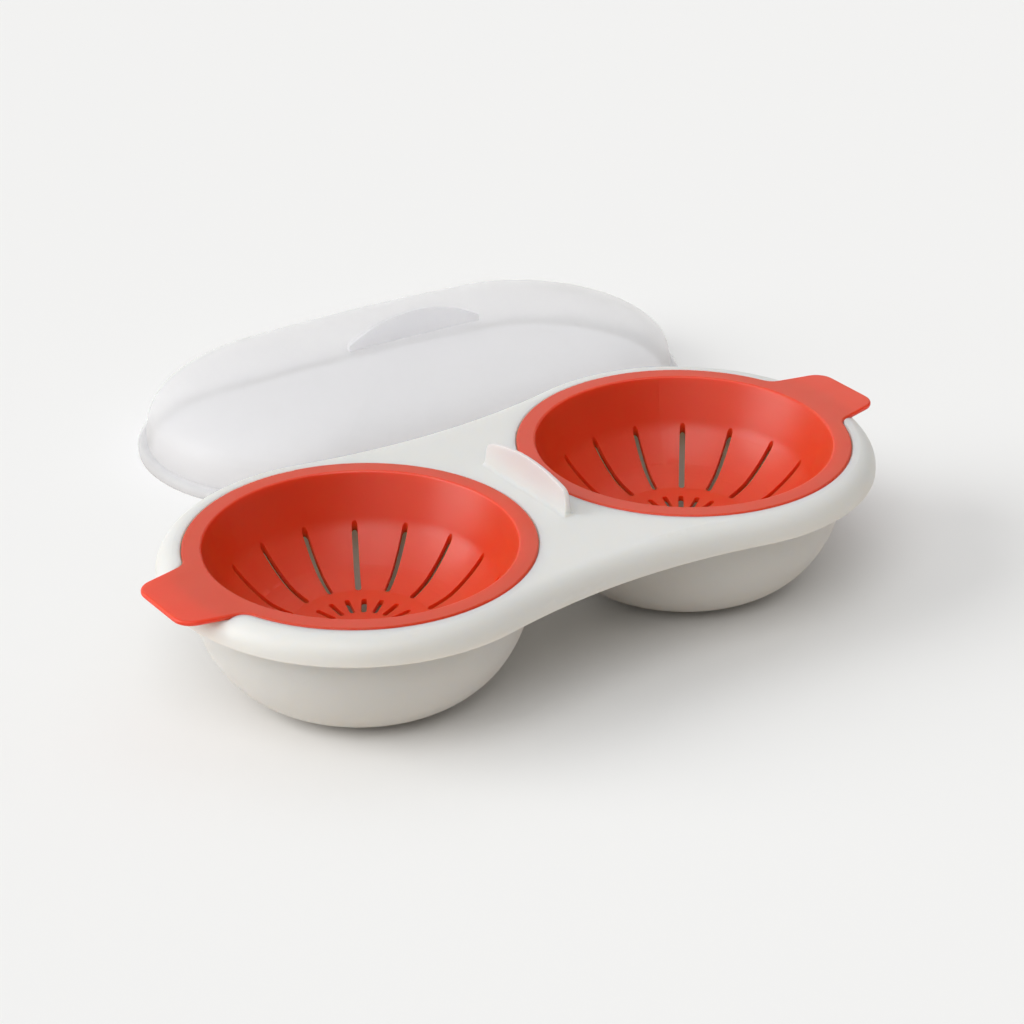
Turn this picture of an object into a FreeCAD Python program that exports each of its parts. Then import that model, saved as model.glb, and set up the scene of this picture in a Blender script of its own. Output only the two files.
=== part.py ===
"""Two-cup microwave egg poacher: a tray with two bowls, two lift-out baskets, and a lid that stands behind them.

Millimetres, +Z up, X along the tray, Y from front to back, the table at Z = 0. Everything is modelled about
the tray's centre and moved at the end, so that the origin is the middle of the whole set's footprint. The tray
is one moulding, given as three solids that meet under the seats: its deck and its two bowls.
"""
import FreeCAD, Part
import math
import os

from FreeCAD import Vector

# Basket
RIM_RADIUS = 50.0
RIM_WIDTH = 5.5
RIM_THICKNESS = 1.6
RIM_EDGE_ROUND = 0.7
BASKET_WALL = 1.8
WALL_INSET = 5.7
WALL_DROP = 14.0
CREASE_ROUND = 12.0
SHOULDER_INSET = 10.7
SHOULDER_DROP = 10.3
SHOULDER_BULGE = 0.6
SHOULDER_ROUND = 16.0
HEEL_INSET = 7.2
HEEL_DROP = 2.6
HEEL_BULGE = 0.2
FLOOR_DISH = 1.6
FLOOR_BULGE = 0.35

# Drain slots of a basket
LONG_SLOT_COUNT = 16
LONG_SLOT_WIDTH = 1.75
LONG_SLOT_TURN = 7.1
LONG_SLOT_CLIMB = 0.6
SHORT_SLOT_COUNT = 20
SHORT_SLOT_WIDTH = 1.6
SHORT_SLOT_LENGTH = 6.9
SHORT_SLOT_GAP = 4.2
SHORT_SLOT_TURN = -1.35

# Lift tab of a basket
TAB_REACH = 14.6
TAB_ROOT_WIDTH = 33.6
TAB_TIP_WIDTH = 25.4
TAB_CORNER = 6.0
TAB_ROOT_FILLET = 5.0

# Tray
BOWL_SPACING = 114.4
BOWL_WALL = 2.2
BASKET_CLEARANCE = 0.4
WATER_DEPTH = 11.5
FOOT_RADIUS = 17.5
BOWL_SIDE_POWER = 2.52
BOWL_DROP_POWER = 1.93
RIM_CLEARANCE = 0.3
RIM_PROUD = 0.25
DECK_MARGIN = 7.0
DECK_FLAT = 0.8
DECK_WALL = 2.2
DECK_DROP = 7.75
WAIST_PINCH = 6.6
SKIRT_EDGE_ROUND = 0.6

# Finger fin on the deck
FIN_LENGTH = 40.8
FIN_TOP_LENGTH = 38.6
FIN_END_HEIGHT = 7.2
FIN_MID_HEIGHT = 10.3
FIN_THICKNESS = 2.4
FIN_TOP_THICKNESS = 1.1
FIN_CORNER = 3.2
FIN_FOOT_FILLET = 1.2

# Lid
LID_LENGTH = 195.2
LID_WIDTH = 102.0
LID_END_RADIUS = 48.8
LID_WALL = 1.6
LID_FLANGE_HEIGHT = 3.2
LID_FLANGE_WIDTH = 3.0
LID_FLANGE_ROUND = 2.0
LID_DOME = 23.8
LID_DOME_POWER = 3.17
LID_SET_RIGHT = 54.5
LID_SET_BACK = 142.4
LID_TURN = -3.2

# Arched grip on the lid
GRIP_LENGTH = 49.6
GRIP_END_HEIGHT = 1.8
GRIP_MID_HEIGHT = 8.9
GRIP_THICKNESS = 2.3
GRIP_TOP_THICKNESS = 1.3
GRIP_CORNER = 1.2

# Levels and radii that follow from the sizes above
BASKET_DEPTH = WALL_DROP + SHOULDER_DROP + HEEL_DROP + FLOOR_DISH
RIM_TOP = BOWL_WALL + WATER_DEPTH + BASKET_WALL + BASKET_DEPTH
SEAT_LEVEL = RIM_TOP - RIM_THICKNESS
SEAT_UNDERSIDE = SEAT_LEVEL - DECK_WALL
DECK_TOP = RIM_TOP - RIM_PROUD
SKIRT_BOTTOM = DECK_TOP - DECK_DROP
OPENING_RADIUS = RIM_RADIUS - RIM_WIDTH
CREASE_RADIUS = OPENING_RADIUS - WALL_INSET
SHOULDER_RADIUS = CREASE_RADIUS - SHOULDER_INSET
FLOOR_RADIUS = SHOULDER_RADIUS - HEEL_INSET
BOWL_INNER_RADIUS = OPENING_RADIUS + BASKET_WALL + BASKET_CLEARANCE
BOWL_RADIUS = BOWL_INNER_RADIUS + BOWL_WALL
SEAT_RADIUS = RIM_RADIUS + RIM_CLEARANCE
DECK_END_RADIUS = SEAT_RADIUS + DECK_MARGIN
DECK_ROLL = DECK_MARGIN - DECK_FLAT
TAB_TIP = RIM_RADIUS + TAB_REACH
BOWL_PLACE = BOWL_SPACING / 2

ORIGIN = Vector(0, 0, 0)
UP = Vector(0, 0, 1)
# How far a cutting solid runs past the face that it cuts
OVERRUN = 1.0
# Where the seam of a turned surface lies, between the slots
SEAM_TURN = 62.5
# Two levels closer than this are one level
NEAR = 1e-4
BOWL_PROFILE_POINTS = 9
DOME_SECTIONS = 9
DOME_DEGREE = 3
# Share of the dome's plan that is left flat at its top, under the grip
DOME_FLAT = 0.12


def upright(radius, height):
    """A point of a profile in the XZ plane, at a radius from the axis and a height."""
    return Vector(radius, 0, height)


def line(start, end):
    """A straight edge."""
    return Part.LineSegment(start, end).toShape()


def arc(start, middle, end):
    """A round edge through three points."""
    return Part.Arc(start, middle, end).toShape()


def arc_about(centre, start, end):
    """The short round edge from start to end about a centre."""
    half_way = (start + end) * 0.5 - centre
    half_way.normalize()
    return arc(start, centre + half_way * (start - centre).Length, end)


def bowed(start, end, bulge):
    """An edge of a profile that bows to the left of its run by the bulge, or is straight with no bulge."""
    if bulge == 0:
        return line(start, end)
    run = end - start
    side = Vector(-run.z, 0, run.x).normalize()
    return arc(start, (start + end) * 0.5 + side * bulge, end)


def path(points):
    """The straight edges that join the points in turn."""
    return [line(a, b) for a, b in zip(points, points[1:])]


def turned_solid(edges):
    """The solid of a closed profile turned round the Z axis, with its seam clear of the slots."""
    solid = Part.Face(Part.Wire(edges)).revolve(ORIGIN, UP, 360)
    solid.rotate(ORIGIN, UP, SEAM_TURN)
    return solid


def prism(wire, low, high):
    """The solid over a flat closed outline at Z = 0, from one level to another."""
    face = Part.Face(wire)
    face.translate(UP * low)
    return face.extrude(UP * (high - low))


def edges_at(shape, level):
    """The edges of a shape that lie wholly at one level."""
    return [e for e in shape.Edges
            if abs(e.BoundBox.ZMin - level) < NEAR and abs(e.BoundBox.ZMax - level) < NEAR]


def basket_corners():
    """The corners of the basket's inner profile, from its mouth to its centre."""
    return [
        upright(OPENING_RADIUS, RIM_TOP),
        upright(CREASE_RADIUS, RIM_TOP - WALL_DROP),
        upright(SHOULDER_RADIUS, RIM_TOP - WALL_DROP - SHOULDER_DROP),
        upright(FLOOR_RADIUS, RIM_TOP - BASKET_DEPTH + FLOOR_DISH),
        upright(0, RIM_TOP - BASKET_DEPTH),
    ]


def pushed_out(corners, distance):
    """The corners of an open profile moved to its left, so that each straight run moves by the distance."""
    normals = []
    for start, end in zip(corners, corners[1:]):
        run = end - start
        normals.append(Vector(-run.z, 0, run.x).normalize())
    moved = []
    for i, corner in enumerate(corners):
        both = normals[max(i - 1, 0)] + normals[min(i, len(normals) - 1)]
        moved.append(corner + both * (2 * distance / both.dot(both)))
    moved[-1] = corners[-1] - UP * distance
    return moved


def cup_solid(corners, top):
    """The solid of a cup's profile, softened at its crease and shoulder.

    The profile's first stretch is carried on to a top level, and the solid is closed there.
    """
    first = corners[1] - corners[0]
    mouth = corners[0] + first * ((top - corners[0].z) / first.z)
    corners = [mouth] + corners[1:]
    bulges = [0, SHOULDER_BULGE, HEEL_BULGE, FLOOR_BULGE]
    edges = [bowed(a, b, bulge) for a, b, bulge in zip(corners, corners[1:], bulges)]
    edges += path([corners[-1], upright(0, top), mouth])
    solid = turned_solid(edges)
    for corner, radius in ((corners[1], CREASE_ROUND), (corners[2], SHOULDER_ROUND)):
        solid = solid.makeFillet(radius, edges_at(solid, corner.z))
    return solid


def rim_outline(grow):
    """The outline of the rim with its lift tab along +X, made larger all round by a clearance.

    The tab's straight sides lean towards each other. A small round joins each side to the rim's circle, and a
    larger one to the tab's tip.
    """
    root_half = TAB_ROOT_WIDTH / 2
    root = math.sqrt(RIM_RADIUS ** 2 - root_half ** 2)
    lean = math.atan2(root_half - TAB_TIP_WIDTH / 2, TAB_TIP - root)
    along = Vector(math.cos(lean), -math.sin(lean), 0)
    outward = Vector(math.sin(lean), math.cos(lean), 0)
    side = outward.dot(Vector(root, root_half, 0)) + grow
    radius = RIM_RADIUS + grow
    tip = TAB_TIP + grow
    fillet = TAB_ROOT_FILLET - grow
    corner = TAB_CORNER + grow

    slide = math.sqrt((radius + fillet) ** 2 - (side + fillet) ** 2)
    fillet_centre = outward * (side + fillet) + along * slide
    on_rim = fillet_centre * (radius / (radius + fillet))
    on_root = fillet_centre - outward * fillet
    corner_x = tip - corner
    corner_centre = Vector(corner_x, (side - corner - outward.x * corner_x) / outward.y, 0)
    on_side = corner_centre + outward * corner
    on_tip = Vector(tip, corner_centre.y, 0)

    def mirrored(v):
        return Vector(v.x, -v.y, 0)

    edges = [
        arc_about(fillet_centre, on_rim, on_root),
        line(on_root, on_side),
        arc_about(corner_centre, on_side, on_tip),
        line(on_tip, mirrored(on_tip)),
        arc_about(mirrored(corner_centre), mirrored(on_tip), mirrored(on_side)),
        line(mirrored(on_side), mirrored(on_root)),
        arc_about(mirrored(fillet_centre), mirrored(on_root), mirrored(on_rim)),
        arc(mirrored(on_rim), Vector(-radius, 0, 0), on_rim),
    ]
    return Part.Wire(edges)


def slot_ring(count, turn, inner, outer, width, low, high):
    """A ring of upright slot cutters, each a straight slot with round ends along a radius."""
    half = width / 2
    start = inner + half
    end = outer - half
    outline = Part.Wire([
        line(Vector(start, -half, 0), Vector(end, -half, 0)),
        arc(Vector(end, -half, 0), Vector(outer, 0, 0), Vector(end, half, 0)),
        line(Vector(end, half, 0), Vector(start, half, 0)),
        arc(Vector(start, half, 0), Vector(inner, 0, 0), Vector(start, -half, 0)),
    ])
    cutter = prism(outline, low, high)
    ring = []
    for i in range(count):
        copy = cutter.copy()
        copy.rotate(ORIGIN, UP, turn + i * 360 / count)
        ring.append(copy)
    return ring


def make_basket():
    """One basket about the Z axis, with its lift tab along +X."""
    plate = prism(rim_outline(0), SEAT_LEVEL, RIM_TOP)
    plate = plate.makeFillet(RIM_EDGE_ROUND, edges_at(plate, RIM_TOP) + edges_at(plate, SEAT_LEVEL))
    inside = basket_corners()
    outside = pushed_out(inside, BASKET_WALL)
    basket = plate.fuse(cup_solid(outside, SEAT_LEVEL + OVERRUN)).cut(cup_solid(inside, RIM_TOP + OVERRUN))
    mouth = [e for e in edges_at(basket, RIM_TOP) if abs(e.BoundBox.XMax - OPENING_RADIUS) < NEAR]
    basket = basket.makeFillet(RIM_EDGE_ROUND, mouth)
    floor = RIM_TOP - BASKET_DEPTH - BASKET_WALL - OVERRUN
    crease = RIM_TOP - WALL_DROP
    slot_end = CREASE_RADIUS + LONG_SLOT_CLIMB * WALL_INSET / WALL_DROP
    cutters = slot_ring(LONG_SLOT_COUNT, LONG_SLOT_TURN, FLOOR_RADIUS, slot_end, LONG_SLOT_WIDTH, floor,
                        crease + LONG_SLOT_CLIMB)
    short_outer = FLOOR_RADIUS - SHORT_SLOT_GAP
    short_inner = short_outer - SHORT_SLOT_LENGTH
    cutters += slot_ring(SHORT_SLOT_COUNT, SHORT_SLOT_TURN, short_inner, short_outer, SHORT_SLOT_WIDTH, floor,
                         crease)
    return basket.cut(cutters)


def bowl_solid(radius, bottom, top):
    """A bowl's solid: straight from the top to the skirt's edge, then a superellipse down to a flat foot.

    With u the share of the way out from the foot's edge to the radius, and t the share of the way down from
    the skirt's edge to the bottom, the curve is u^side + t^drop = 1. It leaves the skirt upright and meets the
    foot level.
    """
    points = []
    for i in range(BOWL_PROFILE_POINTS):
        angle = math.pi / 2 * i / (BOWL_PROFILE_POINTS - 1)
        out = max(math.cos(angle), 0) ** (2 / BOWL_SIDE_POWER)
        down = math.sin(angle) ** (2 / BOWL_DROP_POWER)
        points.append(upright(FOOT_RADIUS + (radius - FOOT_RADIUS) * out,
                              SKIRT_BOTTOM - (SKIRT_BOTTOM - bottom) * down))
    points[-1] = upright(FOOT_RADIUS, bottom)
    curve = Part.BSplineCurve()
    curve.interpolate(Points=points, InitialTangent=Vector(0, 0, -1), FinalTangent=Vector(-1, 0, 0))
    edges = [curve.toShape()]
    edges += path([points[-1], upright(0, bottom), upright(0, top), upright(radius, top), points[0]])
    return turned_solid(edges)


def deck_outline(inset):
    """The deck's outline drawn in by an inset: round ends about the bowls, and a hollow arc along each waist."""
    end_radius = DECK_END_RADIUS - inset
    waist = end_radius - WAIST_PINCH
    waist_radius = (BOWL_PLACE ** 2 + waist ** 2 - end_radius ** 2) / (2 * WAIST_PINCH)
    share = waist_radius / (waist_radius + end_radius)
    x = BOWL_PLACE * share
    y = (waist + waist_radius) * (1 - share)
    end = BOWL_PLACE + end_radius
    return Part.Wire([
        arc(Vector(x, -y, 0), Vector(end, 0, 0), Vector(x, y, 0)),
        arc(Vector(x, y, 0), Vector(0, waist, 0), Vector(-x, y, 0)),
        arc(Vector(-x, y, 0), Vector(-end, 0, 0), Vector(-x, -y, 0)),
        arc(Vector(-x, -y, 0), Vector(0, -waist, 0), Vector(x, -y, 0)),
    ])


def deck_solid(inset, bottom):
    """The deck's solid drawn in by an inset, with its rolled edge, from a bottom level up."""
    top = DECK_TOP - inset
    solid = prism(deck_outline(inset), bottom, top)
    return solid.makeFillet(DECK_ROLL - inset, edges_at(solid, top))


def arched_fin(foot_length, top_length, heights, thicknesses, corner, base, sunk):
    """An upright fin along X on a base level, sunk into what carries it.

    Its top is an arc from the end height to the middle height, with rounded ends, and its sides lean from the
    foot's thickness to the top's.
    """
    end_height, mid_height = heights
    low = base - sunk
    top = base + mid_height
    foot_half = foot_length / 2
    top_half = top_length / 2
    ends = [Vector(-top_half, 0, base + end_height), Vector(top_half, 0, base + end_height)]
    outline = path([ends[1], Vector(foot_half, 0, low), Vector(-foot_half, 0, low), ends[0]])
    outline.append(arc(ends[0], Vector(0, 0, top), ends[1]))
    foot_side, top_side = (t / 2 for t in thicknesses)
    face = Part.Face(Part.Wire(outline))
    face.translate(Vector(0, -foot_side, 0))
    fin = face.extrude(Vector(0, 2 * foot_side, 0))
    fin = fin.makeFillet(corner, edges_at(fin, base + end_height))
    start = -foot_half - OVERRUN
    corners = [(-foot_side, low), (foot_side, low), (top_side, top), (-top_side, top), (-foot_side, low)]
    section = Part.makePolygon([Vector(start, y, z) for y, z in corners])
    wedge = Part.Face(section).extrude(Vector(-2 * start, 0, 0))
    return fin.common(wedge)


def make_deck():
    """The tray's deck: a hollow plate with a rolled edge, a seat for each rim and tab, and the finger fin."""
    blank = deck_solid(0, SKIRT_BOTTOM)
    shell = blank.cut(deck_solid(DECK_WALL, SKIRT_BOTTOM - OVERRUN))
    deck = shell.makeFillet(SKIRT_EDGE_ROUND, edges_at(shell, SKIRT_BOTTOM))
    seat_backing = prism(rim_outline(RIM_CLEARANCE + DECK_WALL), SEAT_UNDERSIDE, SEAT_LEVEL + DECK_WALL)
    seat_cut = prism(rim_outline(RIM_CLEARANCE), SEAT_LEVEL, RIM_TOP + OVERRUN)
    mouth = bowl_solid(BOWL_INNER_RADIUS, BOWL_WALL, RIM_TOP)
    for turn in (0, 180):
        deck = deck.fuse(placed(seat_backing, turn).common(blank))
    for turn in (0, 180):
        deck = deck.cut([placed(mouth, turn), placed(seat_cut, turn)])
    fin = arched_fin(FIN_LENGTH, FIN_TOP_LENGTH, (FIN_END_HEIGHT, FIN_MID_HEIGHT),
                     (FIN_THICKNESS, FIN_TOP_THICKNESS), FIN_CORNER, DECK_TOP, DECK_WALL / 2)
    fin.rotate(ORIGIN, UP, 90)
    deck = deck.fuse(fin).removeSplitter()
    foot = [e for e in edges_at(deck, DECK_TOP)
            if max(abs(e.BoundBox.XMin), abs(e.BoundBox.XMax)) < FIN_THICKNESS
            and max(abs(e.BoundBox.YMin), abs(e.BoundBox.YMax)) < FIN_LENGTH]
    return deck.makeFillet(FIN_FOOT_FILLET, foot)


def make_bowl():
    """One of the tray's bowls about the Z axis, from the table up to the underside of the deck's seat."""
    outside = bowl_solid(BOWL_RADIUS, 0, SEAT_UNDERSIDE)
    return outside.cut(bowl_solid(BOWL_INNER_RADIUS, BOWL_WALL, RIM_TOP))


def placed(shape, turn):
    """A copy of a shape made about the Z axis, set over the right bowl, or at half a turn over the left one."""
    copy = shape.copy()
    copy.translate(Vector(BOWL_PLACE, 0, 0))
    copy.rotate(ORIGIN, UP, turn)
    return copy


def oval(inset, share, level):
    """The lid's oval of four smooth arcs at a level, drawn in by an inset and then shrunk to a share."""
    half_length = (LID_LENGTH / 2 - inset) * share
    half_width = (LID_WIDTH / 2 - inset) * share
    end_radius = (LID_END_RADIUS - inset) * share
    end_place = half_length - end_radius
    spare = half_width - end_radius
    side_place = (end_place ** 2 - spare ** 2) / (2 * spare)
    reach = math.hypot(end_place, side_place)
    x = end_place + end_radius * end_place / reach
    y = end_radius * side_place / reach
    wire = Part.Wire([
        arc(Vector(x, -y, 0), Vector(half_length, 0, 0), Vector(x, y, 0)),
        arc(Vector(x, y, 0), Vector(0, half_width, 0), Vector(-x, y, 0)),
        arc(Vector(-x, y, 0), Vector(-half_length, 0, 0), Vector(-x, -y, 0)),
        arc(Vector(-x, -y, 0), Vector(0, -half_width, 0), Vector(x, -y, 0)),
    ])
    wire.translate(UP * level)
    return wire


def dome_solid(inset, rise):
    """The dome over an oval on the flange.

    At a share of the way out to the oval its height is rise * (1 - share^power)^(1 / power).
    """
    last = math.acos(DOME_FLAT ** (LID_DOME_POWER / 2))
    sections = []
    for i in range(DOME_SECTIONS):
        angle = last * i / (DOME_SECTIONS - 1)
        share = math.cos(angle) ** (2 / LID_DOME_POWER)
        height = rise * math.sin(angle) ** (2 / LID_DOME_POWER)
        sections.append(oval(inset, share, LID_FLANGE_HEIGHT + height))
    return Part.makeLoft(sections, True, False, False, DOME_DEGREE)


def make_lid():
    """The lid where it stands on the table: a low rounded flange, a hollow dome and an arched grip."""
    flange = prism(oval(0, 1, 0), 0, LID_FLANGE_HEIGHT)
    flange = flange.makeFillet(LID_FLANGE_ROUND, edges_at(flange, LID_FLANGE_HEIGHT))
    inset = LID_FLANGE_WIDTH + LID_WALL
    mouth = prism(oval(inset, 1, 0), -OVERRUN, LID_FLANGE_HEIGHT)
    lid = flange.fuse(dome_solid(LID_FLANGE_WIDTH, LID_DOME))
    lid = lid.cut(mouth.fuse(dome_solid(inset, LID_DOME - LID_WALL)))
    top = LID_FLANGE_HEIGHT + LID_DOME
    grip = arched_fin(GRIP_LENGTH, GRIP_LENGTH, (GRIP_END_HEIGHT, GRIP_MID_HEIGHT),
                      (GRIP_THICKNESS, GRIP_TOP_THICKNESS), GRIP_CORNER, top, LID_WALL / 2)
    lid = lid.fuse(grip).removeSplitter()
    lid.rotate(ORIGIN, UP, LID_TURN)
    lid.translate(Vector(LID_SET_RIGHT, LID_SET_BACK, 0))
    return lid


def main():
    """Builds the pieces, moves the set's footprint onto the origin and writes one file for each piece."""
    os.makedirs("parts", exist_ok=True)
    bowl = make_bowl()
    right_basket = placed(make_basket(), 0)
    pieces = {
        "tray_deck": make_deck(),
        "tray_left_bowl": placed(bowl, 180),
        "tray_right_bowl": placed(bowl, 0),
        "left_basket": right_basket.mirror(ORIGIN, Vector(1, 0, 0)),
        "right_basket": right_basket,
        "lid": make_lid(),
    }
    box = Part.makeCompound(list(pieces.values())).optimalBoundingBox(False, False)
    shift = Vector(-(box.XMin + box.XMax) / 2, -(box.YMin + box.YMax) / 2, 0)
    for name, shape in pieces.items():
        shape.translate(shift)
        shape.exportStep("parts/" + name + ".step")
        size = shape.optimalBoundingBox(False, False)
        print(name, "solids", len(shape.Solids), "valid", shape.isValid(), "volume", round(shape.Volume),
              "from", [round(v, 2) for v in (size.XMin, size.YMin, size.ZMin)],
              "to", [round(v, 2) for v in (size.XMax, size.YMax, size.ZMax)])
    print("tray centre at", round(shift.x, 3), round(shift.y, 3), "rim top", RIM_TOP)


main()
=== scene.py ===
"""Dresses a two-cup microwave egg poacher in its plastics, and sets up the pale studio it is seen in.

Everything is in metres in the part's own frame: +X along the tray, +Y from the tray to the lid behind it, +Z up,
and the table at Z = 0. The four mouldings keep their CAD shapes. This file gives them their skins, the light and
the view.
"""
from __future__ import annotations

import logging
import math
from dataclasses import dataclass, field
from enum import Enum

import bpy
import numpy as np
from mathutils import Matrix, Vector


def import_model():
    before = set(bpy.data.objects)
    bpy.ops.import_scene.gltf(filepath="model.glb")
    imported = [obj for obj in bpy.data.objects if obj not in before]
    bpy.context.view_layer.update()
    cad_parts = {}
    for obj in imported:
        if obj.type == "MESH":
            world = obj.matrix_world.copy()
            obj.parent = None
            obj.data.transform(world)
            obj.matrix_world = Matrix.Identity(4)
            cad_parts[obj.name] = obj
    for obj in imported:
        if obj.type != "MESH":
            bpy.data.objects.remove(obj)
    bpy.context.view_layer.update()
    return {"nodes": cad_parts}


LOG = logging.getLogger("egg_poacher")
MM = 0.001
# Noise lies mostly between these two values.
NOISE_LOW, NOISE_HIGH = 0.3, 0.7
# Finer layers over the noise of a tone, and over that of a skin.
TONE_LAYERS, SKIN_LAYERS = 3.0, 2.0
# Sockets of a Mix node that mixes two colours.
MIX_SHARE, MIX_FIRST, MIX_SECOND, MIX_RESULT = 0, 6, 7, 2


class Bowl(Enum):
    """The bowl a basket hangs in, with the name of that basket's node."""

    LEFT = "left_basket"
    RIGHT = "right_basket"


def linear(tone: str) -> tuple[float, float, float, float]:
    """Turns an sRGB hex tone into the linear colour a shader takes.

    Args:
        tone: The colour as #rrggbb.

    Returns:
        Linear red, green, blue and an alpha of 1.
    """
    part = np.array([int(tone[i:i + 2], 16) for i in (1, 3, 5)]) / 255.0
    part = np.where(part <= 0.04045, part / 12.92, ((part + 0.055) / 1.055) ** 2.4)
    return (*part.tolist(), 1.0)


def bare_tree(owner: bpy.types.Material | bpy.types.World) -> bpy.types.NodeTree:
    """Switches on the nodes of a new material or world, and empties them.

    Args:
        owner: The material or world.

    Returns:
        Its node tree, with no node in it.
    """
    owner.use_nodes = True
    owner.node_tree.nodes.clear()
    return owner.node_tree


def add_node(tree: bpy.types.NodeTree, kind: str, settings: dict[str | int, object] | None = None,
             links: dict[str | int, bpy.types.NodeSocket] | None = None) -> bpy.types.Node:
    """Adds a node, sets its sockets and properties, and links its inputs.

    Args:
        tree: The node tree that gets the node.
        kind: The node's Blender type.
        settings: Values by socket name or index, or by property name.
        links: Output sockets to join, by the name or index of the input they go to.

    Returns:
        The new node.
    """
    node = tree.nodes.new(kind)
    for name, value in (settings or {}).items():
        if isinstance(name, str) and name in node.bl_rna.properties:
            setattr(node, name, value)
        else:
            node.inputs[name].default_value = value
    for name, socket in (links or {}).items():
        tree.links.new(socket, node.inputs[name])
    return node


@dataclass(frozen=True)
class MouldedPlastic:
    """Injection-moulded polypropylene: a tone that drifts a little, and the skin of a spark-eroded mould.

    Attributes:
        name: The material's name.
        tone: Main colour.
        drift_tone: Colour that the main one drifts to where the melt lay thicker.
        drift_mm: Size of the drifting patches.
        roughness: Middle roughness of the skin.
        roughness_swing: How far polish from handling moves the roughness either way.
        polish_mm: Size of the polished patches.
        grain_mm: Spacing of the mould's grain. The real one is about 0.15 mm, too fine to show, so it is drawn
            coarser.
        grain_height_mm: Height of the grain.
        glow_mm: How far light travels under the surface.
        glow_reach: That way for red, green and blue, as shares of it.
        shine: Specular level, where 0.5 is what the index of refraction gives.
        ior: Index of refraction of polypropylene.
        cover: Share of what lies behind that one skin of the wall hides.
    """

    name: str
    tone: str
    drift_tone: str
    drift_mm: float
    roughness: float
    roughness_swing: float
    polish_mm: float
    grain_mm: float
    grain_height_mm: float
    glow_mm: float
    glow_reach: tuple[float, float, float] = (1.0, 1.0, 1.0)
    shine: float = 0.5
    ior: float = 1.49
    cover: float = 1.0

    def build(self) -> bpy.types.Material:
        """Makes the material.

        Returns:
            The finished material.
        """
        material = bpy.data.materials.new(self.name)
        tree = bare_tree(material)
        place = add_node(tree, "ShaderNodeTexCoord").outputs["Object"]
        drift = add_node(tree, "ShaderNodeTexNoise", {"Scale": 1 / (self.drift_mm * MM), "Detail": TONE_LAYERS},
                         {"Vector": place})
        tone = add_node(tree, "ShaderNodeMix",
                        {"data_type": "RGBA", MIX_FIRST: linear(self.tone), MIX_SECOND: linear(self.drift_tone)},
                        {MIX_SHARE: drift.outputs["Fac"]})
        polish = add_node(tree, "ShaderNodeTexNoise", {"Scale": 1 / (self.polish_mm * MM), "Detail": SKIN_LAYERS},
                          {"Vector": place})
        rough = add_node(tree, "ShaderNodeMapRange",
                         {"From Min": NOISE_LOW, "From Max": NOISE_HIGH,
                          "To Min": self.roughness - self.roughness_swing,
                          "To Max": self.roughness + self.roughness_swing},
                         {"Value": polish.outputs["Fac"]})
        shader = add_node(tree, "ShaderNodeBsdfPrincipled",
                          {"IOR": self.ior, "Specular IOR Level": self.shine, "Alpha": self.cover,
                           "Subsurface Weight": 1.0, "Subsurface Scale": self.glow_mm * MM,
                           "Subsurface Radius": self.glow_reach},
                          {"Base Color": tone.outputs[MIX_RESULT], "Roughness": rough.outputs["Result"],
                           "Normal": self.skin(tree, place)})
        add_node(tree, "ShaderNodeOutputMaterial", None, {"Surface": shader.outputs["BSDF"]})
        return material

    def skin(self, tree: bpy.types.NodeTree, place: bpy.types.NodeSocket) -> bpy.types.NodeSocket:
        """Adds the mould's grain: noise at the grain's spacing, raised by its height.

        Args:
            tree: The material's nodes.
            place: Object coordinates.

        Returns:
            The socket with the grained normal.
        """
        grain = add_node(tree, "ShaderNodeTexNoise", {"Scale": 1 / (self.grain_mm * MM), "Detail": SKIN_LAYERS},
                         {"Vector": place})
        bump = add_node(tree, "ShaderNodeBump", {"Distance": self.grain_height_mm * MM, "Strength": 1.0},
                        {"Height": grain.outputs["Fac"], **self.skin_links(tree, place)})
        return bump.outputs["Normal"]

    def skin_links(self, tree: bpy.types.NodeTree,
                   place: bpy.types.NodeSocket) -> dict[str, bpy.types.NodeSocket]:
        """Gives links that change the grain over the piece; an even grain has none."""
        return {}


@dataclass(frozen=True)
class BasketPlastic(MouldedPlastic):
    """Orange polypropylene whose cup is grained below the crease and smooth above it.

    Attributes:
        crease: Height of the crease inside the cup.
        fade: Height over which the grain dies out above the crease.
        smooth_share: Share of the grain that the smooth part keeps.
    """

    crease: float = 30.0 * MM
    fade: float = 1.0 * MM
    smooth_share: float = 0.25

    def skin_links(self, tree: bpy.types.NodeTree,
                   place: bpy.types.NodeSocket) -> dict[str, bpy.types.NodeSocket]:
        """Fades the grain from full below the crease to its smooth share above it.

        Args:
            tree: The material's nodes.
            place: Object coordinates.

        Returns:
            The grain's strength, for the bump.
        """
        height = add_node(tree, "ShaderNodeSeparateXYZ", None, {"Vector": place})
        strength = add_node(tree, "ShaderNodeMapRange",
                            {"From Min": self.crease, "From Max": self.crease + self.fade, "To Min": 1.0,
                             "To Max": self.smooth_share},
                            {"Value": height.outputs["Z"]})
        return {"Strength": strength.outputs["Result"]}


# White pigment in polypropylene: an even white with a soft satin sheen and no clear reflections, warm in the shade.
TRAY_PLASTIC = MouldedPlastic(
    name="white_moulded_polypropylene", tone="#d9dad8", drift_tone="#d6d7d4", drift_mm=38.0, roughness=0.42,
    roughness_swing=0.04, polish_mm=24.0, grain_mm=0.7, grain_height_mm=0.006, glow_mm=6.0,
    glow_reach=(1.0, 0.85, 0.7))
# Orange-red pigment: a strong red in the shade of the cups, and an orange veil where the satin skin catches light.
BASKET_PLASTIC = BasketPlastic(
    name="orange_moulded_polypropylene", tone="#da4217", drift_tone="#d43c14", drift_mm=30.0, roughness=0.38,
    roughness_swing=0.05, polish_mm=18.0, grain_mm=0.8, grain_height_mm=0.024, glow_mm=5.0,
    glow_reach=(1.0, 0.16, 0.08))
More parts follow.
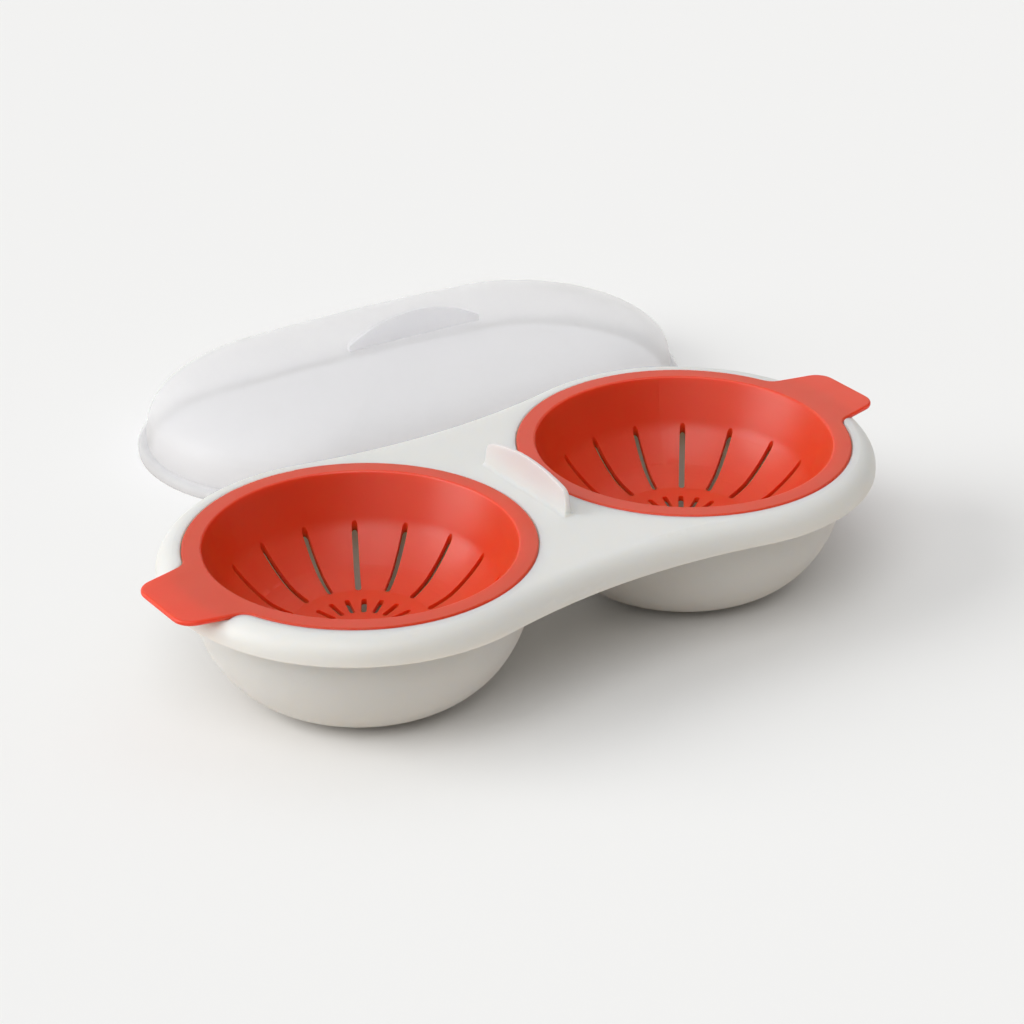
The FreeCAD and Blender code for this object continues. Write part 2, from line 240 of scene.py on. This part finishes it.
# Natural polypropylene: its crystals scatter light, so it is cool and milky. The wall is thin enough to let what
# lies behind it show through faintly.
LID_PLASTIC = MouldedPlastic(
    name="frosted_moulded_polypropylene", tone="#f2f4ff", drift_tone="#f0f2ff", drift_mm=45.0, roughness=0.42,
    roughness_swing=0.03, polish_mm=30.0, grain_mm=0.9, grain_height_mm=0.004, glow_mm=3.5, cover=0.32)


def dress(node: bpy.types.Object, material: bpy.types.Material) -> None:
    """Puts one material into every slot of a moulding.

    Args:
        node: The moulding's object.
        material: Its plastic.
    """
    if not node.material_slots:
        node.data.materials.append(material)
    for slot in node.material_slots:
        slot.material = material


@dataclass
class Tray:
    """The white tray, one moulding: two water bowls under a deck with a rolled skirt and a finger fin.

    Attributes:
        parts: The nodes that make up the moulding.
        plastic: Its finish.
    """

    parts: tuple[str, ...] = ("tray_deck", "tray_left_bowl", "tray_right_bowl")
    plastic: MouldedPlastic = TRAY_PLASTIC

    def build(self, nodes: dict[str, bpy.types.Object]) -> None:
        """Dresses the tray's deck and bowls in one white plastic.

        Args:
            nodes: The part's objects by node name.
        """
        material = self.plastic.build()
        for part in self.parts:
            dress(nodes[part], material)
            LOG.info("%s dressed in %s", part, self.plastic.name)


@dataclass
class Baskets:
    """The two slotted orange baskets with their lift tabs, mirror images of each other.

    Attributes:
        bowls: The bowls that have a basket.
        plastic: The baskets' finish.
    """

    bowls: tuple[Bowl, ...] = (Bowl.LEFT, Bowl.RIGHT)
    plastic: BasketPlastic = BASKET_PLASTIC

    def build(self, nodes: dict[str, bpy.types.Object]) -> None:
        """Dresses both baskets in one orange plastic.

        Args:
            nodes: The part's objects by node name.
        """
        material = self.plastic.build()
        for bowl in self.bowls:
            dress(nodes[bowl.value], material)
            LOG.info("%s dressed in %s", bowl.value, self.plastic.name)


@dataclass
class Lid:
    """The frosted oval lid, taken off and set down behind the tray.

    Attributes:
        node: The lid's node.
        plastic: Its finish.
    """

    node: str = "lid"
    plastic: MouldedPlastic = LID_PLASTIC

    def build(self, nodes: dict[str, bpy.types.Object]) -> None:
        """Dresses the lid in its milky plastic."""
        dress(nodes[self.node], self.plastic.build())
        LOG.info("%s dressed in %s", self.node, self.plastic.name)


def heading(azimuth: float, elevation: float) -> Vector:
    """Gives the unit vector towards a place in the sky.

    Args:
        azimuth: Degrees from +X towards +Y.
        elevation: Degrees above the table.

    Returns:
        The vector.
    """
    turn, lift = math.radians(azimuth), math.radians(elevation)
    return Vector((math.cos(turn) * math.cos(lift), math.sin(turn) * math.cos(lift), math.sin(lift)))


@dataclass(frozen=True)
class SoftLight:
    """A broad, far softbox, as a sun lamp of wide angle, which lights the whole table evenly.

    Attributes:
        name: The lamp's name.
        azimuth: Where it stands round the object, in degrees from +X towards +Y.
        elevation: How high it stands, in degrees.
        spread: How wide it looks from the object, in degrees.
        share: What it adds to a white surface that faces up, where 1 is white.
    """

    name: str
    azimuth: float
    elevation: float
    spread: float
    share: float

    def build(self) -> None:
        """Adds the lamp, aimed at the object."""
        lamp = bpy.data.lights.new(self.name, "SUN")
        lamp.angle = math.radians(self.spread)
        lamp.energy = self.share * math.pi / math.sin(math.radians(self.elevation))
        thing = bpy.data.objects.new(self.name, lamp)
        thing.rotation_euler = heading(self.azimuth, self.elevation).to_track_quat("Z", "Y").to_euler()
        bpy.context.scene.collection.objects.link(thing)


def seen_ray(tree: bpy.types.NodeTree) -> bpy.types.NodeSocket:
    """Tells the rays that show a thing, straight, mirrored or through a clear piece, from those that light it.

    Args:
        tree: The nodes that get the test.

    Returns:
        A socket with 1 for camera, glossy and transmission rays and 0 for the rest.
    """
    ray = add_node(tree, "ShaderNodeLightPath")
    seen = ray.outputs["Is Camera Ray"]
    for kind in ("Is Glossy Ray", "Is Transmission Ray"):
        either = add_node(tree, "ShaderNodeMath", {"operation": "MAXIMUM"}, {0: seen, 1: ray.outputs[kind]})
        seen = either.outputs["Value"]
    return seen


@dataclass
class Studio:
    """A pale matt table under soft light, and the camera at the photograph's angle.

    Attributes:
        table_half: Half the table's side.
        table_tone: The table's colour as it is seen.
        table_roughness: Roughness of the table's matt paper.
        bounce_tone: The warm, darker colour with which the table throws light back up onto the object.
        wall_tone: The colour of the white sweep that is seen behind the table.
        wall_from: Azimuth and elevation of the middle of that sweep.
        wall_fade: Cosines of the angle from that middle between which the room brightens to the sweep's white.
        room_share: What is left of the wall's brightness on the dark side of the room, away from the sweep.
        glow_from: Azimuth and elevation of the brightest place of the ceiling.
        glow: How bright that place is.
        low_tint: The ceiling's tint near the table.
        high_tint: The ceiling's tint overhead.
        lights: The softboxes.
        camera_place: Where the camera stands.
        camera_target: The point it is aimed at.
        lens: Focal length, in mm.
        sensor: Width of the sensor, in mm.
    """

    table_half: float = 6.0
    table_tone: str = "#efefee"
    table_roughness: float = 0.9
    bounce_tone: str = "#ece2d7"
    wall_tone: str = "#f1f1f0"
    wall_from: tuple[float, float] = (130.0, 20.0)
    wall_fade: tuple[float, float] = (-0.5, 0.2)
    room_share: float = 0.1
    glow_from: tuple[float, float] = (0.0, 90.0)
    glow: float = 0.84
    low_tint: tuple[float, float, float, float] = (1.05, 0.99, 0.94, 1.0)
    high_tint: tuple[float, float, float, float] = (0.985, 1.0, 1.015, 1.0)
    lights: tuple[SoftLight, ...] = (SoftLight("side_softbox", 155.0, 25.0, 45.0, 0.25),
                                     SoftLight("front_softbox", 222.0, 54.0, 40.0, 0.22))
    camera_place: Vector = field(default_factory=lambda: Vector((-0.481985, -0.725971, 0.4505)))
    camera_target: Vector = field(default_factory=lambda: Vector((-0.027285, -0.078171, 0.0440)))
    lens: float = 109.9
    sensor: float = 36.0

    def build(self) -> None:
        """Sets up the table, the surroundings, the lamps and the camera."""
        self.table()
        self.surroundings()
        for light in self.lights:
            light.build()
        self.camera()
        bpy.context.scene.view_settings.view_transform = "Standard"
        LOG.info("studio with %d lamp(s)", len(self.lights))

    def table(self) -> None:
        """Lays a flat square of matt paper at the height where the part stands."""
        side = np.linspace(-self.table_half, self.table_half, 2)
        x, y = np.meshgrid(side, side)
        corners = np.stack([x, y, np.zeros_like(x)], axis=-1).reshape(-1, 3)
        mesh = bpy.data.meshes.new("table")
        mesh.from_pydata(corners.tolist(), [], [(0, 1, 3, 2)])
        material = bpy.data.materials.new("matt_paper")
        tree = bare_tree(material)
        tone = add_node(tree, "ShaderNodeMix",
                        {"data_type": "RGBA", MIX_FIRST: linear(self.bounce_tone),
                         MIX_SECOND: linear(self.table_tone)},
                        {MIX_SHARE: seen_ray(tree)})
        shader = add_node(tree, "ShaderNodeBsdfPrincipled",
                          {"Roughness": self.table_roughness, "Specular IOR Level": 0.0},
                          {"Base Color": tone.outputs[MIX_RESULT]})
        add_node(tree, "ShaderNodeOutputMaterial", None, {"Surface": shader.outputs["BSDF"]})
        mesh.materials.append(material)
        table = bpy.data.objects.new("table", mesh)
        bpy.context.scene.collection.objects.link(table)

    def surroundings(self) -> None:
        """Lights the studio from a glowing ceiling, and shows the camera and every reflection a pale sweep.

        The ceiling's light falls off with the cosine of the angle from its brightest place, and it is warmer near
        the table than overhead. The sweep is pale behind the table, and the room darkens away from it.
        """
        world = bpy.data.worlds.new("studio")
        tree = bare_tree(world)
        way = add_node(tree, "ShaderNodeTexCoord").outputs["Generated"]
        toward = add_node(tree, "ShaderNodeVectorMath",
                          {"operation": "DOT_PRODUCT", 1: heading(*self.glow_from)}, {0: way})
        strength = add_node(tree, "ShaderNodeMapRange", {"To Max": self.glow}, {"Value": toward.outputs["Value"]})
        height = add_node(tree, "ShaderNodeSeparateXYZ", None, {"Vector": way})
        tint = add_node(tree, "ShaderNodeMix",
                        {"data_type": "RGBA", MIX_FIRST: self.low_tint, MIX_SECOND: self.high_tint},
                        {MIX_SHARE: height.outputs["Z"]})
        ceiling = add_node(tree, "ShaderNodeBackground", None,
                           {"Color": tint.outputs[MIX_RESULT], "Strength": strength.outputs["Result"]})
        sweep = add_node(tree, "ShaderNodeVectorMath",
                         {"operation": "DOT_PRODUCT", 1: heading(*self.wall_from)}, {0: way})
        dark, light = self.wall_fade
        pale = add_node(tree, "ShaderNodeMapRange",
                        {"From Min": dark, "From Max": light, "To Min": self.room_share},
                        {"Value": sweep.outputs["Value"]})
        wall = add_node(tree, "ShaderNodeBackground", {"Color": linear(self.wall_tone)},
                        {"Strength": pale.outputs["Result"]})
        both = add_node(tree, "ShaderNodeMixShader", None,
                        {0: seen_ray(tree), 1: ceiling.outputs[0], 2: wall.outputs[0]})
        add_node(tree, "ShaderNodeOutputWorld", None, {"Surface": both.outputs[0]})
        bpy.context.scene.world = world

    def camera(self) -> None:
        """Places the camera."""
        lens = bpy.data.cameras.new("camera")
        lens.lens = self.lens
        lens.sensor_width = self.sensor
        lens.sensor_fit = "HORIZONTAL"
        camera = bpy.data.objects.new("camera", lens)
        camera.location = self.camera_place
        camera.rotation_euler = (self.camera_place - self.camera_target).to_track_quat("Z", "Y").to_euler()
        bpy.context.scene.collection.objects.link(camera)
        bpy.context.scene.camera = camera


def main() -> None:
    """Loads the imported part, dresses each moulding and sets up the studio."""
    logging.basicConfig(level=logging.INFO, format="%(message)s")
    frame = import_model()
    for piece in (Tray(), Baskets(), Lid()):
        piece.build(frame["nodes"])
    Studio().build()


if __name__ == "__main__":
    main()
